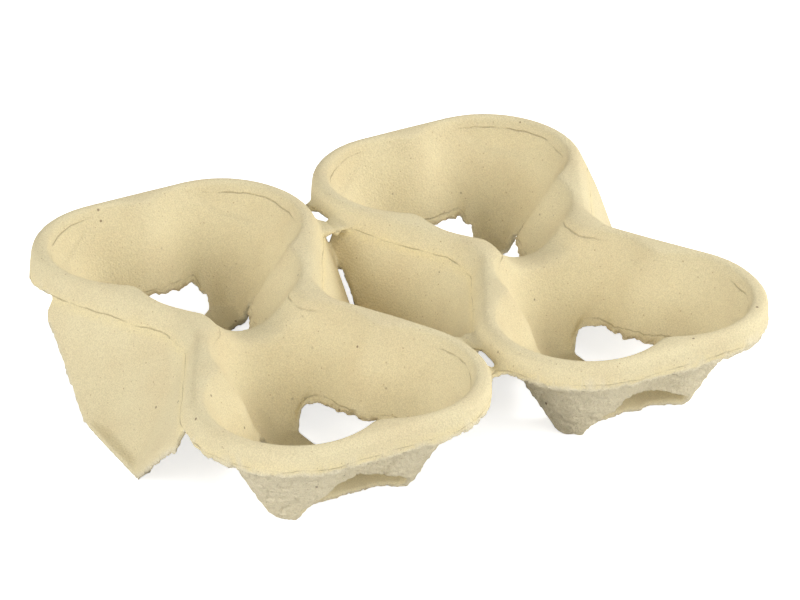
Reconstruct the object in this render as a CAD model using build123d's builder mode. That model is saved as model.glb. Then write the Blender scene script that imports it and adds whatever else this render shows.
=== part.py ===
from build123d import *
from math import cos, radians, sin, tan
import os

os.makedirs("parts", exist_ok=True)

# Moulded-pulp carrier for four cups: two halves of two cups each, pressed as one
# sheet and joined by four thin tear-off webs.
# X runs across the tear line, Y along it, Z up from the table the feet stand on.

# Layout
half_pitch = 108.0        # from the middle of one half to the middle of the other
cup_pitch = 94.0          # between the two cups of a half
height = 41.0             # table to the top of the rim
wall = 2.2                # thickness of the pulp sheet

# Pocket: three round lobes, with a gripping rib between each pair, that narrow to
# the three legs it stands on
lobe_reach = 19.6         # cup centre to the centre of each lobe and leg
mouth_round = 28.4        # radius of a lobe at the rim, inside
foot_round = 7.8          # radius of a leg at the floor, inside
rib_swing = 30.0          # degrees that each lobe turns on into the ribs beside it
saddle_round = 18.0       # radius of the dip between the two cups
saddle_z = 29.5           # height of the bottom of that dip

# Rim and the skirt that hangs from it
rim_width = 4.2           # level rim round each lobe
corner_shift = 0.8        # how far the rim's corners are centred outside the lobes
rim_bevel = 2.0           # eased outer edge of the band
skirt_drop = 7.5          # top of the rim to the skirt's free edge
end_draft = 3.0           # degrees that the skirt leans out at the ends of a half
side_draft = 25.8         # degrees that the skirts and the waist panels lean out at its sides

# Waist panel on each side of a half, which slopes from the rim to the table
waist_reach = 24.5        # middle of the half to the rim, at the waist
ledge_width = 4.2         # level lip along the panel's foot
ledge_length = 37.0
tear_gap = 1.0            # clear slot between the two halves

# Arched window under each rib
window_span = 39.0        # between the ends of a window
window_end = 5.0          # height of a window at its ends
end_rise = 12.0           # height of the windows at the ends of a half, in the middle
side_rise = 14.5          # height of the windows that face its sides
window_reach = 12.0       # cup centre to the floor's cut edge
window_bow = 34.0         # radius of that edge

# Tear line: a long web and a short one join the skirts, with a hole between the two
web_start = 41.0          # middle of the tear line to the long web
long_web = 8.5            # length of each web and of the hole between them
tear_hole = 11.0
short_web = 4.5
hole_width = 3.6

cup = Vector(0, cup_pitch / 2)
edge_x = half_pitch / 2 - tear_gap / 2
crease_x = edge_x - ledge_width
skirt_z = height - skirt_drop
outer_round = mouth_round + rim_width                   # radius of the rim's corners
corner_reach = lobe_reach + corner_shift                # cup centre to the centre of each corner
outer_side = outer_round + corner_reach / 2             # cup centre to each straight side of the rim
slant = wall * tan(radians((90 - side_draft) / 2))      # level step between the faces of a leaning wall
hole_start = web_start + long_web
webs = ((web_start, long_web), (hole_start + tear_hole, short_web))      # start and length
past = 2 * wall           # how far cutters run past what they cut


def polar(distance, angle):
    return Vector(distance * cos(radians(angle)), distance * sin(radians(angle)))


corner = cup + polar(corner_reach, 30)


def star_outline(radius):
    """Three round lobes, the last one along -Y, joined by the hollow arcs of the ribs."""
    across = lobe_reach * sin(radians(60)) / sin(radians(rib_swing))
    rib_centre = across * sin(radians(60 + rib_swing)) / sin(radians(60))
    with BuildLine() as outline:
        for lobe in (30, 150, 270):
            CenterArc(cup + polar(lobe_reach, lobe), radius, lobe - 60 - rib_swing, 120 + 2 * rib_swing)
            rib = cup + polar(rib_centre, lobe + 60)
            CenterArc(rib, across - radius, lobe + 240 + rib_swing, -2 * rib_swing)
    return outline.edges()


def pockets(drop, grow):
    """Room for the two cups of a half or, lowered and grown, the outside of their walls."""
    with BuildPart() as rooms:
        with BuildSketch(Plane.XY.offset(wall - drop)):
            make_face(star_outline(foot_round + grow))
        with BuildSketch(Plane.XY.offset(height - drop)) as mouth:
            make_face(star_outline(mouth_round + grow))
        loft(ruled=True)
        extrude(mouth.sketch, amount=past)
        mirror(about=Plane.XZ)
        with Locations((0, 0, saddle_z + saddle_round)):
            Cylinder(saddle_round + drop, cup_pitch / 2, rotation=(90, 0, 0))
    return rooms.part


def rim_corner(inset, start):
    """One round corner of the rim, from an angle to the middle of the half's end."""
    radius = outer_round - inset
    arc = CenterArc(corner, radius, start, 90 - start)
    Line(arc @ 1, (0, corner.Y + radius))
    return arc @ 0


def rim_outline(inset):
    """The rim of a half: round at its ends, drawn in to a corner at each side of its waist."""
    with BuildLine() as outline:
        start = rim_corner(inset, -30)
        Line(start, start + polar(start.Y / sin(radians(60)), 240))
        mirror(about=Plane.YZ)
        mirror(about=Plane.XZ)
    return outline.edges()


def end_outline(inset):
    """The same ends, with sides that keep clear of the waist."""
    with BuildLine() as outline:
        start = rim_corner(inset, 30)
        Line(start, start + polar(start.Y / sin(radians(60)), 300))
        mirror(about=Plane.YZ)
        mirror(about=Plane.XZ)
    return outline.edges()


def skin(drop, inset):
    """The drafted block that the rim, the skirts and the waist panels bound."""
    depth = height - rim_bevel
    with BuildPart() as block:
        with BuildSketch(Plane.XY.offset(depth - drop)):
            make_face(rim_outline(inset))
        extrude(amount=depth, dir=(0, 0, -1), taper=-side_draft)
        with BuildSketch(Plane.XY.offset(depth - drop)):
            make_face(end_outline(inset))
        extrude(amount=depth, dir=(0, 0, -1), taper=-end_draft, mode=Mode.INTERSECT)
        with BuildSketch(Plane.XY.offset(height - drop)):
            make_face(rim_outline(inset + rim_bevel))
        extrude(amount=rim_bevel, dir=(0, 0, -1), taper=-45)
        with BuildSketch(Plane.XZ):
            with BuildLine():
                top = Line((0, height - drop), (waist_reach - inset, height - drop))
                panel = Line(top @ 1, (crease_x - inset, wall - drop))
                Polyline(panel @ 1, (crease_x - inset, -drop), (0, -drop), top @ 0)
            make_face()
            mirror(about=Plane.YZ)
        extrude(amount=ledge_length / 2, both=True)
    return block.part


def underside():
    """All that is open below the sheet of one half: the skirts end high, the waist panels don't."""
    with BuildPart() as space:
        with BuildSketch(Plane.XY.offset(-wall)):
            Rectangle(2 * half_pitch, 4 * cup_pitch)
            Rectangle(2 * half_pitch, cup_pitch, mode=Mode.SUBTRACT)
        extrude(amount=skirt_z + wall)
        add(skin(wall, slant))
        add(pockets(wall, slant), mode=Mode.SUBTRACT)
    return space.part


def window(angle, rise):
    """The room cut away under one rib: an arch in front, a bowed edge in the floor."""
    front = Plane(origin=cup, x_dir=polar(1, angle + 90), z_dir=polar(1, angle))
    side = window_span / 2
    with BuildPart() as cut:
        with BuildSketch(front):
            with BuildLine():
                Polyline((-side, window_end), (-side, -past), (side, -past), (side, window_end))
                ThreePointArc((side, window_end), (0, rise), (-side, window_end))
            make_face()
        extrude(amount=outer_side)
        with Locations(cup + polar(window_reach + window_bow, angle)):
            Cylinder(window_bow, 4 * rise, mode=Mode.INTERSECT)
    return cut.part


# One half of the carrier, about its own middle
with BuildPart() as half:
    add(skin(0, 0))
    add(pockets(0, 0), mode=Mode.SUBTRACT)
    add(underside(), mode=Mode.SUBTRACT)
    for rib, rise in ((90, end_rise), (210, side_rise), (330, side_rise)):
        opening = window(rib, rise)
        add(opening, mode=Mode.SUBTRACT)
        mirror(opening, about=Plane.XZ, mode=Mode.SUBTRACT)
    with BuildSketch():
        with Locations((crease_x - wall, 0)):
            Rectangle(ledge_width + wall, ledge_length, align=(Align.MIN, Align.CENTER))
        mirror(about=Plane.YZ)
    extrude(amount=wall)
    with BuildSketch():
        Rectangle(2 * edge_x, 4 * cup_pitch)
        for start, length in webs:
            with Locations((-edge_x, start), (-edge_x, -start - length)):
                Rectangle(tear_gap, length, align=(Align.CENTER, Align.MIN))
    extrude(amount=height, mode=Mode.INTERSECT)

# The level part of the webs, between the free edges of the skirts
with BuildPart() as level_webs:
    with BuildSketch(Plane.XY.offset(skirt_z)):
        for start, length in webs:
            with Locations((0, start), (0, -start - length)):
                Rectangle(half_pitch / 2, length, align=(Align.CENTER, Align.MIN))
    extrude(amount=wall)
    with Locations((half_pitch / 2, 0), (-half_pitch / 2, 0)):
        add(skin(wall, slant), mode=Mode.SUBTRACT)

with BuildPart() as cup_carrier:
    with Locations((half_pitch / 2, 0)):
        add(half.part)
    mirror(about=Plane.YZ)
    add(level_webs.part)
    with BuildSketch():
        with Locations((0, hole_start + tear_hole / 2), (0, -hole_start - tear_hole / 2)):
            Ellipse(hole_width / 2, tear_hole / 2)
    extrude(amount=height, mode=Mode.SUBTRACT)

cup_carrier.part.label = "cup_carrier"
export_step(cup_carrier.part, "parts/cup_carrier.step")
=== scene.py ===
import math
import bpy
import numpy as np
from mathutils import Matrix, Vector, noise


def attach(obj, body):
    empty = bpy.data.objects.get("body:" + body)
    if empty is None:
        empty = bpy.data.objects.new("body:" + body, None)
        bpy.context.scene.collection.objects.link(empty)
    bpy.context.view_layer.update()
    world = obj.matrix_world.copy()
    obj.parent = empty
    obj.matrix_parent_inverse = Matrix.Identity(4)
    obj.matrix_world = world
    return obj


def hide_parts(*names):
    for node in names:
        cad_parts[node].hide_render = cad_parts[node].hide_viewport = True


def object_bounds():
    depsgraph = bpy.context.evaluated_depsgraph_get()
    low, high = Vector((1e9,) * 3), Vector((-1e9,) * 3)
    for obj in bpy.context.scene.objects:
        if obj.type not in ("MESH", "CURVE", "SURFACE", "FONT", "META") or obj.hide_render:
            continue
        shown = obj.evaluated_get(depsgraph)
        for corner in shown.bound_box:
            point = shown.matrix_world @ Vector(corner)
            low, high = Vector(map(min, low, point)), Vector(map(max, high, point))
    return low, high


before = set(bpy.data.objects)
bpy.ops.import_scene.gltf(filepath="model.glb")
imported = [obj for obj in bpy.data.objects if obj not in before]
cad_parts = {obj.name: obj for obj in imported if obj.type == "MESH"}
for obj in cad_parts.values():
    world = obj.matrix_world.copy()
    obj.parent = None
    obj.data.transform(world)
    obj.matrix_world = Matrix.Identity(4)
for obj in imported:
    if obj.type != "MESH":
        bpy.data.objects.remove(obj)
cad_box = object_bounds()

# The pressed sheet. The whole carrier is one sheet of paper pulp, about 2 mm thick, sucked
# onto a wire-mesh mould and dried: its corners come out soft, its faces a little wavy, and
# the windows under the ribs are torn, not cut.
mm = 0.001
voxel = 0.72 * mm
most_triangles = 190000
half_pitch = 108.0 * mm
cup_pitch = 94.0 * mm
skirt_edge = 33.5 * mm
web_start = 41.0 * mm

sheet = bpy.data.objects.new("pulp_sheet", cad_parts["cup_carrier"].data.copy())
bpy.context.scene.collection.objects.link(sheet)

# The slot along the tear line opened a little as the sheet dried
slot_opening = 0.6 * mm
for point in sheet.data.vertices:
    if abs(point.co.x) < 1.0 * mm and abs(point.co.y) < web_start - 0.5 * mm:
        point.co.x += math.copysign(slot_opening, point.co.x)
remesh = sheet.modifiers.new("even_grid", "REMESH")
remesh.mode = "VOXEL"
remesh.voxel_size = voxel
bpy.context.view_layer.update()
grid = bpy.data.meshes.new_from_object(sheet.evaluated_get(bpy.context.evaluated_depsgraph_get()))
sheet.modifiers.clear()
sheet.data = grid

points = np.zeros(len(grid.vertices) * 3)
grid.vertices.foreach_get("co", points)
points = points.reshape(-1, 3)
ends = np.zeros(len(grid.edges) * 2, np.int32)
grid.edges.foreach_get("vertices", ends)
ends = ends.reshape(-1, 2)
start_end, other_end = ends[:, 0], ends[:, 1]
neighbours = np.bincount(ends.ravel(), minlength=len(points))[:, None]


def neighbour_mean(values):
    """The mean of each point's neighbours."""
    total = np.empty_like(values)
    for axis in range(values.shape[1]):
        column = values[:, axis]
        total[:, axis] = np.bincount(start_end, column[other_end], len(values))
        total[:, axis] += np.bincount(other_end, column[start_end], len(values))
    return total / neighbours


def ramp(values, low, high):
    """0 below low, 1 above high, and a soft step between."""
    share = np.clip((values - low) / (high - low), 0, 1)
    return share * share * (3 - 2 * share)


def near(values, middle, reach):
    """1 at the middle, and 0 beyond the reach on either side."""
    return 1 - ramp(np.abs(values - middle), 0, reach)


# Each point's place in its own half and quarter: across, from the middle of the half, and
# along, from the cup's centre towards the half's end
across = np.abs(np.abs(points[:, 0]) - half_pitch / 2)
along = np.abs(points[:, 1]) - cup_pitch / 2
up = points[:, 2]
from_cup = np.hypot(across, along)
cup_angle = np.degrees(np.arctan2(along, across))
rib_turn = np.minimum(np.abs(cup_angle - 90), np.abs(cup_angle + 30))
by_rib = 1 - ramp(rib_turn, 24, 40)

# Soft places: the shoulders where a rib runs into the rim, the dip between two cups, and
# the hollow middle of each waist panel
shoulder = by_rib * ramp(up, 24 * mm, 34 * mm) * ramp(from_cup, 22 * mm, 26 * mm)
shoulder *= 1 - ramp(from_cup, 35 * mm, 38 * mm)
dip = near(points[:, 1], 0, 26 * mm) * (1 - ramp(across, 19 * mm, 24 * mm)) * ramp(up, 12 * mm, 20 * mm)
panel = near(points[:, 1], 0, 30 * mm) * ramp(across, 20 * mm, 26 * mm)
panel *= 1 - ramp(across, 44 * mm, 47 * mm)
softness = np.clip(0.03 + 0.12 * shoulder + 0.8 * dip + 0.5 * panel, 0, 1)[:, None] * 0.55

soft_rounds = 60
for step in range(soft_rounds):
    points += (neighbour_mean(points) - points) * softness
for step in range(3):
    points += (neighbour_mean(points) - points) * 0.5


# The same waves and ragged edges on every run
noise.seed_set(1)


def drift(scale, size, seed):
    """A smooth push in a direction that wanders from place to place, the same on both faces."""
    offset = Vector((seed * 7.3, seed * 3.1, seed * 5.7))
    return np.array([noise.noise_vector(Vector(p) / scale + offset) for p in points]) * size


# The windows were torn out of the sheet: the ones at the back ends of the halves lower and
# narrower than moulded, and the ones beside the waist flatter
window_side = 19.5 * mm
window_end = 5.0 * mm
points_x = points[:, 0].copy()
across_way = np.sign(points_x) * np.sign(np.abs(points_x) - half_pitch / 2)
along_way = np.sign(points[:, 1])
above_tear = np.full(len(points), 1.0)
front = points[:, 1] < 0
right_side = across_way > 0


def reshape_window(angle, top, torn_top, torn_side, where):
    """Tear an arched window to a flatter top and steeper sides than it was moulded with."""
    turn = math.radians(angle)
    out = across * math.cos(turn) + along * math.sin(turn)
    aside = across * math.sin(turn) - along * math.cos(turn)
    radius = (window_side ** 2 + (top - window_end) ** 2) / (2 * (top - window_end))
    moulded = top - radius + np.sqrt(np.maximum(radius ** 2 - np.minimum(np.abs(aside), window_side) ** 2, 0))
    torn_edge = torn_top * (1 - 0.4 * np.clip(np.abs(aside) / torn_side, 0, 1) ** 10)
    held = ramp(out, 11 * mm, 14 * mm) * (1 - ramp(out, 30 * mm, 34 * mm)) * where
    held *= 1 - ramp(np.abs(aside), window_side, window_side + 5 * mm)
    by_edge = held * (1 - ramp(up, moulded, moulded + 12 * mm))
    points[:, 2] += (torn_edge - moulded) * by_edge * ramp(up, 2.5 * mm, 5 * mm)
    by_window = (held > 0.3) & (np.abs(aside) < torn_side)
    above_tear[by_window] = (points[:, 2] - torn_edge)[by_window]
    slide = (torn_side - window_side) * near(np.abs(aside), window_side, 9 * mm) * by_edge
    slide *= np.sign(aside)
    points[:, 0] += slide * math.sin(turn) * across_way
    points[:, 1] -= slide * math.cos(turn) * along_way


reshape_window(90, 12.0 * mm, 11.1 * mm, 17.0 * mm, ~front)
reshape_window(-30, 14.5 * mm, 11.8 * mm, 20.5 * mm, front & right_side)
reshape_window(-30, 14.5 * mm, 8.5 * mm, 13.5 * mm, front & ~right_side)
reshape_window(-30, 14.5 * mm, 12.6 * mm, 17.0 * mm, ~front)
floor_edge = by_rib * ramp(from_cup, 8 * mm, 12 * mm) * (1 - ramp(from_cup, 28 * mm, 32 * mm))
floor_edge *= 1 - ramp(up, 2.5 * mm, 6 * mm)

# Waves that drying left in the sheet, the ragged edges of the torn windows, the uneven free
# edge of the skirts, which hang lower at the ends of a half, and the crease along the webs
points += drift(38 * mm, 0.45 * mm, 1)
torn = by_rib * (1 - ramp(up, 14 * mm, 18 * mm)) * ramp(from_cup, 10 * mm, 12 * mm)
torn *= 1 - ramp(from_cup, 30 * mm, 35 * mm)
torn *= 1 - 0.75 * front * near(cup_angle, 90, 50)
ragged = torn[:, None]
points += drift(5 * mm, 1.1 * mm, 2) * ragged
points += drift(2.0 * mm, 0.7 * mm, 3) * ragged
points[:, :2] += drift(9 * mm, 1.0 * mm, 5)[:, :2] * floor_edge[:, None]
floor_tear = 1.6 * mm
outwards = floor_tear * floor_edge / np.maximum(from_cup, 1 * mm)
points[:, 0] += outwards * across * across_way
points[:, 1] += outwards * along * along_way
free_edge = near(up, skirt_edge, 3.5 * mm) * ramp(from_cup, 38 * mm, 41 * mm)
points += drift(9 * mm, 0.6 * mm, 4) * free_edge[:, None]
hanging = near(up, skirt_edge, 6.5 * mm) * ramp(from_cup, 40 * mm, 43 * mm) * ramp(along, 5 * mm, 30 * mm)
skirt_hang = 2.4 * mm
points[:, 2] -= skirt_hang * hanging
webs = near(points[:, 0], 0, 1.6 * mm) * ramp(np.abs(points[:, 1]), web_start - 3 * mm, web_start)
web_crease = 0.8 * mm
points[:, 2] -= web_crease * webs

grid.vertices.foreach_set("co", points.ravel())
grid.update()
normals = np.zeros(len(points) * 3)
grid.vertex_normals.foreach_get("vector", normals)
normals = normals.reshape(-1, 3)

# The face that lay on the wire mesh is smooth. The other face, which is the one below and
# inside the skirts, is rough, with creases where the wet pulp folded
facing = normals[:, 2:].copy()
for step in range(6):
    facing = neighbour_mean(facing)
facing = facing[:, 0]
outward = normals[:, 0] * across_way * across
outward += normals[:, 1] * np.sign(points[:, 1]) * along
in_skirt = ramp(from_cup, 41 * mm, 43 * mm) * ramp(up, 29 * mm, 32 * mm)
in_skirt *= (outward > 0) * ramp(facing, -0.2, -0.05)
below = (1 - ramp(facing, -0.12, 0.06)) * (1 - in_skirt)
bumps = np.array([noise.fractal(Vector(p) / (2.4 * mm), 0.8, 2.0, 3) for p in points])
folds = np.array([noise.noise(Vector(p) / (6.5 * mm)) for p in points])
creases = np.clip(1 - np.abs(folds) * 7, 0, 1) ** 2
relief = below * (1 - near(facing, 0, 0.35))
push = bumps * (0.02 * mm + 0.42 * mm * relief) - creases * 0.7 * mm * relief
lip = near(up, skirt_edge, 2.6 * mm) * in_skirt
inside_rim = ramp(up, 30 * mm, 34 * mm) * (1 - by_rib) * ramp(facing, 0.05, 0.2) * (1 - in_skirt)
grid.vertices.foreach_set("co", (points + normals * push[:, None]).ravel())
torn_lip = torn * near(facing, 0, 0.34)
marks = {
    "rough_face": below, "torn_lip": torn_lip, "skirt_lip": lip, "above_tear": above_tear,
    "inside_rim": inside_rim, "skirt_face": in_skirt,
}
for name, values in marks.items():
    grid.attributes.new(name, "FLOAT", "POINT").data.foreach_set("value", values)

triangles = 2 * len(grid.polygons)
if triangles > most_triangles:
    thin = sheet.modifiers.new("thin_out", "DECIMATE")
    thin.ratio = most_triangles / triangles
    bpy.context.view_layer.update()
    grid = bpy.data.meshes.new_from_object(sheet.evaluated_get(bpy.context.evaluated_depsgraph_get()))
    sheet.modifiers.clear()
    sheet.data = grid
points = np.zeros(len(grid.vertices) * 3)
grid.vertices.foreach_get("co", points)
points = np.clip(points.reshape(-1, 3), np.array(cad_box[0]), np.array(cad_box[1]))
grid.vertices.foreach_set("co", points.ravel())
grid.shade_smooth()
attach(sheet, "root")
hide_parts("cup_carrier")

# Pulp. Recycled paper fibre, pale cream on the face that the wire mesh smoothed and greyer and
# rougher below, with a few dark flecks of printed paper in it.
cream = (0.76, 0.67, 0.43, 1)
tan = (0.72, 0.61, 0.38, 1)
grey_beige = (0.80, 0.72, 0.52, 1)
lip_yellow = (0.80, 0.69, 0.41, 1)
# Torn edges low by the windows: partly the brown of the torn fibre, partly painted shade
torn_fibre_and_shade_brown = (0.50, 0.40, 0.23, 1)
# Painted shade for the fine grooves that the mould left
groove_painted_shade = (0.36, 0.28, 0.16, 1)
fleck_brown = (0.22, 0.15, 0.09, 1)
speck_brown = (0.50, 0.38, 0.22, 1)


def make_node(tree, kind, place, **settings):
    node = tree.nodes.new(kind)
    node.location = place
    for name, value in settings.items():
        setattr(node, name, value)
    return node


pulp = bpy.data.materials.new("pulp")
pulp.use_nodes = True
tree = pulp.node_tree
link = tree.links.new
shader = tree.nodes["Principled BSDF"]
shader.inputs["Roughness"].default_value = 0.92
shader.inputs["Specular IOR Level"].default_value = 0.18
place = make_node(tree, "ShaderNodeTexCoord", (-1400, 0)).outputs["Object"]


def clouds(scale, detail, low, high, at):
    """Soft patches between 0 and 1, their size set by the scale in patches to the metre."""
    texture = make_node(tree, "ShaderNodeTexNoise", at)
    texture.inputs["Scale"].default_value = scale
    texture.inputs["Detail"].default_value = detail
    spread = make_node(tree, "ShaderNodeMapRange", (at[0] + 180, at[1]), interpolation_type="SMOOTHSTEP")
    spread.inputs["From Min"].default_value = low
    spread.inputs["From Max"].default_value = high
    link(place, texture.inputs["Vector"])
    link(texture.outputs["Fac"], spread.inputs["Value"])
    return spread.outputs["Result"]


def blend(mask, first, second, at, way="MIX"):
    """One colour over another where the mask says so."""
    mix = make_node(tree, "ShaderNodeMix", at, data_type="RGBA", blend_type=way)
    for socket, value in ((mix.inputs[0], mask), (mix.inputs[6], first), (mix.inputs[7], second)):
        if hasattr(value, "is_linked"):
            link(value, socket)
        else:
            socket.default_value = value
    return mix.outputs[2]


def mark(name, at):
    """One of the masks that the sheet's points carry."""
    return make_node(tree, "ShaderNodeAttribute", at, attribute_name=name).outputs["Fac"]


def sums(way, first, second, at):
    """The sum, product or such of two numbers."""
    node = make_node(tree, "ShaderNodeMath", at, operation=way)
    for socket, value in zip(node.inputs, (first, second)):
        if hasattr(value, "is_linked"):
            link(value, socket)
        else:
            socket.default_value = value
    return node.outputs["Value"]


def line_along(value, middle, reach, at):
    """1 where a value passes its middle, and 0 beyond the reach."""
    away = sums("ABSOLUTE", sums("SUBTRACT", value, middle, at), 0, (at[0] + 160, at[1]))
    soft = make_node(tree, "ShaderNodeMapRange", (at[0] + 320, at[1]), interpolation_type="SMOOTHSTEP")
    soft.inputs["From Min"].default_value = reach
    soft.inputs["From Max"].default_value = 0
    link(away, soft.inputs["Value"])
    return soft.outputs["Result"]


mottle = clouds(60, 5, 0.3, 0.9, (-1200, 400))
fine_mottle = clouds(2600, 2, 0.35, 0.65, (-1200, 200))
smooth_face = blend(mottle, cream, tan, (-700, 400))
rough_mask = mark("rough_face", (-1200, 600))
two_faces = blend(rough_mask, smooth_face, grey_beige, (-560, 600))
lipped = blend(mark("skirt_lip", (-1200, 900)), two_faces, lip_yellow, (-530, 500))
# The torn edges low by the windows are painted brown: partly the torn fibre, partly painted shade
torn = blend(mark("torn_lip", (-1200, 750)), lipped, torn_fibre_and_shade_brown, (-500, 400))

# Fine grooves that the mould left: one just inside the rim, one above the skirt's free edge and
# one above each torn window. The shade in them is painted dark brown; the bump sinks them a little
axes = make_node(tree, "ShaderNodeSeparateXYZ", (-1200, 1500))
link(place, axes.inputs["Vector"])
wander = sums("MULTIPLY", clouds(90, 2, 0.2, 0.8, (-1600, 1500)), 1.2 * mm, (-1400, 1700))
level = sums("ADD", axes.outputs["Z"], wander, (-1200, 1650))
rim_line = line_along(level, 38.2 * mm, 0.38 * mm, (-1000, 1600))
rim_groove = sums("MULTIPLY", rim_line, mark("inside_rim", (-1000, 1750)), (-500, 1600))
skirt_line = line_along(level, 34.6 * mm, 0.32 * mm, (-1000, 1400))
skirt_groove = sums("MULTIPLY", skirt_line, mark("skirt_face", (-1000, 1300)), (-500, 1400))
above = sums("ADD", mark("above_tear", (-1400, 1200)), wander, (-1200, 1200))
tear_groove = line_along(above, 3.4 * mm, 0.4 * mm, (-1000, 1150))
groove = sums("MAXIMUM", sums("MAXIMUM", rim_groove, skirt_groove, (-300, 1500)), tear_groove, (-150, 1400))
patchy = sums("MULTIPLY", groove, clouds(140, 3, 0.3, 0.6, (-500, 1750)), (0, 1500))
# The fine grooves get painted shade: dark brown lines, broken into patches
faces = blend(sums("MULTIPLY", patchy, 0.55, (150, 1400)), torn, groove_painted_shade, (-400, 400))
grain = blend(fine_mottle, (1.07, 1.07, 1.07, 1), (0.91, 0.9, 0.88, 1), (-700, 200))
grained = blend(1.0, faces, grain, (-300, 400), "MULTIPLY")


def specks(scale, size, share, at):
    """Scattered specks: the share of the cells that hold one, and its size in its cell."""
    cells = make_node(tree, "ShaderNodeTexVoronoi", at)
    cells.inputs["Scale"].default_value = scale
    link(place, cells.inputs["Vector"])
    parts = make_node(tree, "ShaderNodeSeparateColor", (at[0] + 180, at[1] - 100))
    link(cells.outputs["Color"], parts.inputs["Color"])
    dot = make_node(tree, "ShaderNodeMapRange", (at[0] + 180, at[1] + 60))
    dot.inputs["From Min"].default_value = size
    dot.inputs["From Max"].default_value = size / 2
    link(cells.outputs["Distance"], dot.inputs["Value"])
    seldom = make_node(tree, "ShaderNodeMapRange", (at[0] + 360, at[1] - 100))
    seldom.inputs["From Min"].default_value = 1 - share
    link(parts.outputs["Red"], seldom.inputs["Value"])
    return sums("MULTIPLY", dot.outputs["Result"], seldom.outputs["Result"], (at[0] + 540, at[1]))


small_specks = blend(specks(900, 0.3, 0.12, (-1200, -100)), grained, speck_brown, (-220, 300))
flecked = blend(specks(330, 0.2, 0.05, (-1200, 50)), small_specks, fleck_brown, (-150, 300))
link(flecked, shader.inputs["Base Color"])

# The fine marks of the wire mesh on the smooth face, and matted fibre on the rough one
mesh_marks = make_node(tree, "ShaderNodeTexVoronoi", (-1200, -300))
mesh_marks.inputs["Scale"].default_value = 1250
link(place, mesh_marks.inputs["Vector"])
fibre = clouds(700, 6, 0.25, 0.8, (-1200, -550))
matted = sums("MULTIPLY", fibre, 4.5, (-1000, -450))
height = make_node(tree, "ShaderNodeMix", (-700, -350), data_type="FLOAT")
link(rough_mask, height.inputs[0])
link(mesh_marks.outputs["Distance"], height.inputs[2])
link(matted, height.inputs[3])
bump = make_node(tree, "ShaderNodeBump", (-450, -350))
bump.inputs["Strength"].default_value = 0.65
bump.inputs["Distance"].default_value = 0.3 * mm
sunk = sums("MULTIPLY", patchy, 1.5, (-700, -500))
link(sums("SUBTRACT", height.outputs[0], sunk, (-550, -500)), bump.inputs["Height"])
link(bump.outputs["Normal"], shader.inputs["Normal"])
grid.materials.clear()
grid.materials.append(pulp)

# The table: a plain white sheet, large enough to fill the view, that keeps a faint shadow.
floor_size = 6.0
table_z = -0.05 * mm
floor_mesh = bpy.data.meshes.new("floor")
side = floor_size / 2
floor_corners = [(x * side, y * side, table_z) for x, y in ((-1, -1), (1, -1), (1, 1), (-1, 1))]
floor_mesh.from_pydata(floor_corners, [], [(0, 1, 2, 3)])
floor = bpy.data.objects.new("floor", floor_mesh)
bpy.context.scene.collection.objects.link(floor)
white = bpy.data.materials.new("white_table")
white.use_nodes = True
white_tree = white.node_tree
white_shader = white_tree.nodes["Principled BSDF"]
white_shader.inputs["Base Color"].default_value = (0.86, 0.86, 0.86, 1)
white_shader.inputs["Roughness"].default_value = 0.9
white_shader.inputs["Specular IOR Level"].default_value = 0.0
white_shader.inputs["Emission Color"].default_value = (1, 1, 1, 1)
# A mask that both the table and the room use: 1 for the rays that look straight at a surface, at
# its mirror image or through glass
seen = bpy.data.node_groups.new("seen_directly", "ShaderNodeTree")
seen.interface.new_socket("Mask", in_out="OUTPUT", socket_type="NodeSocketFloat")
rays = make_node(seen, "ShaderNodeLightPath", (-600, 0))
shown = rays.outputs["Is Camera Ray"]
for step, kind in enumerate(("Is Glossy Ray", "Is Transmission Ray")):
    either = make_node(seen, "ShaderNodeMath", (-350 + 200 * step, 0), operation="MAXIMUM")
    seen.links.new(shown, either.inputs[0])
    seen.links.new(rays.outputs[kind], either.inputs[1])
    shown = either.outputs["Value"]
seen.links.new(shown, make_node(seen, "NodeGroupOutput", (100, 0)).inputs["Mask"])

seen_floor = make_node(white_tree, "ShaderNodeGroup", (-600, -200), node_tree=seen)
lift = make_node(white_tree, "ShaderNodeMath", (-400, -200), operation="MULTIPLY")
lift.inputs[1].default_value = 0.7
white_tree.links.new(seen_floor.outputs["Mask"], lift.inputs[0])
white_tree.links.new(lift.outputs["Value"], white_shader.inputs["Emission Strength"])
floor_mesh.materials.append(white)

# Light: five soft white panels round the table, the strongest on the right, in a dim white room.
panel_size = 0.6


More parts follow.
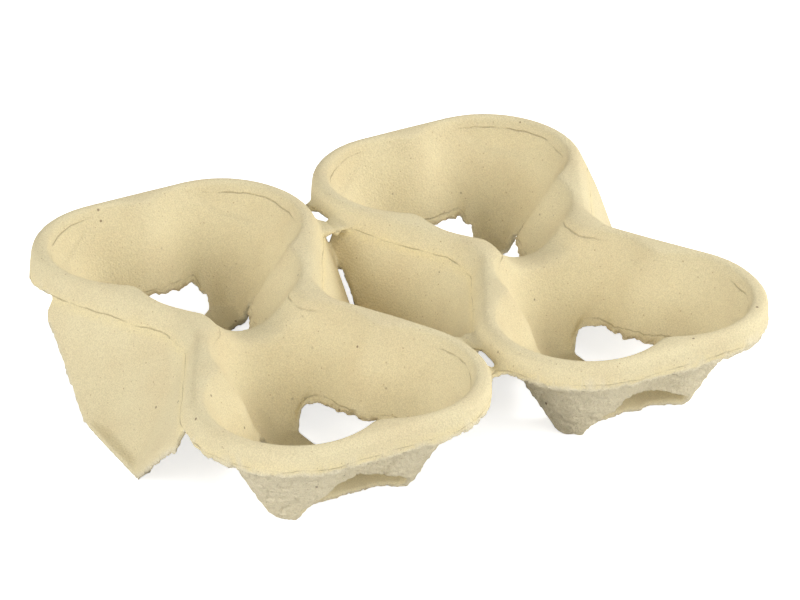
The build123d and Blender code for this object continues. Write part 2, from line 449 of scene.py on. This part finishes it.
def light_panel(name, place, power):
    lamp = bpy.data.lights.new(name, "AREA")
    lamp.shape = "SQUARE"
    lamp.size = panel_size
    lamp.energy = power
    holder = bpy.data.objects.new(name, lamp)
    holder.location = place
    holder.rotation_euler = (-Vector(place)).to_track_quat("-Z", "Y").to_euler()
    bpy.context.scene.collection.objects.link(holder)


light_panel("right_light", (1.0, -0.1, 0.6), 9.0)
light_panel("front_right_light", (0.35, -1.0, 0.6), 6.6)
light_panel("front_left_light", (-0.6, -0.95, 0.6), 2.6)
light_panel("left_light", (-1.0, -0.1, 0.5), 6.4)
light_panel("back_light", (-0.5, 0.95, 0.8), 3.8)
room = bpy.data.worlds.new("room")
room.use_nodes = True
bpy.context.scene.world = room
room_tree = room.node_tree
backdrop = room_tree.nodes["Background"]
backdrop.inputs["Color"].default_value = (1, 1, 1, 1)
seen_white = make_node(room_tree, "ShaderNodeMapRange", (-400, 0))
seen_white.inputs["To Min"].default_value = 0.08
seen_white.inputs["To Max"].default_value = 1.0
seen_room = make_node(room_tree, "ShaderNodeGroup", (-600, 0), node_tree=seen)
room_tree.links.new(seen_room.outputs["Mask"], seen_white.inputs["Value"])
room_tree.links.new(seen_white.outputs["Result"], backdrop.inputs["Strength"])

# Camera: a long lens from the front left, as far above the table as in the photograph.
focal_pixels = 3489.15
image_width = 800
sensor_width = 36.0
azimuth = math.radians(-31.07)
elevation = math.radians(29.61)
roll = math.radians(1.52)
distance = 1.18997
target = Vector((0.00834, 0.01151, 0.02003))

camera_data = bpy.data.cameras.new("camera")
camera_data.sensor_width = sensor_width
camera_data.lens = focal_pixels * sensor_width / image_width
camera_data.clip_start = 0.05
camera_data.clip_end = 20
camera = bpy.data.objects.new("camera", camera_data)
bpy.context.scene.collection.objects.link(camera)
back = Vector((
    math.sin(azimuth) * math.cos(elevation),
    -math.cos(azimuth) * math.cos(elevation),
    math.sin(elevation),
))
level_right = Vector((math.cos(azimuth), math.sin(azimuth), 0))
level_up = back.cross(level_right)
right = level_right * math.cos(roll) + level_up * math.sin(roll)
top = level_up * math.cos(roll) - level_right * math.sin(roll)
turn = Matrix((right, top, back)).transposed()
camera.matrix_world = Matrix.Translation(target + back * distance) @ turn.to_4x4()
bpy.context.scene.camera = camera
bpy.context.scene.view_settings.view_transform = "Standard"
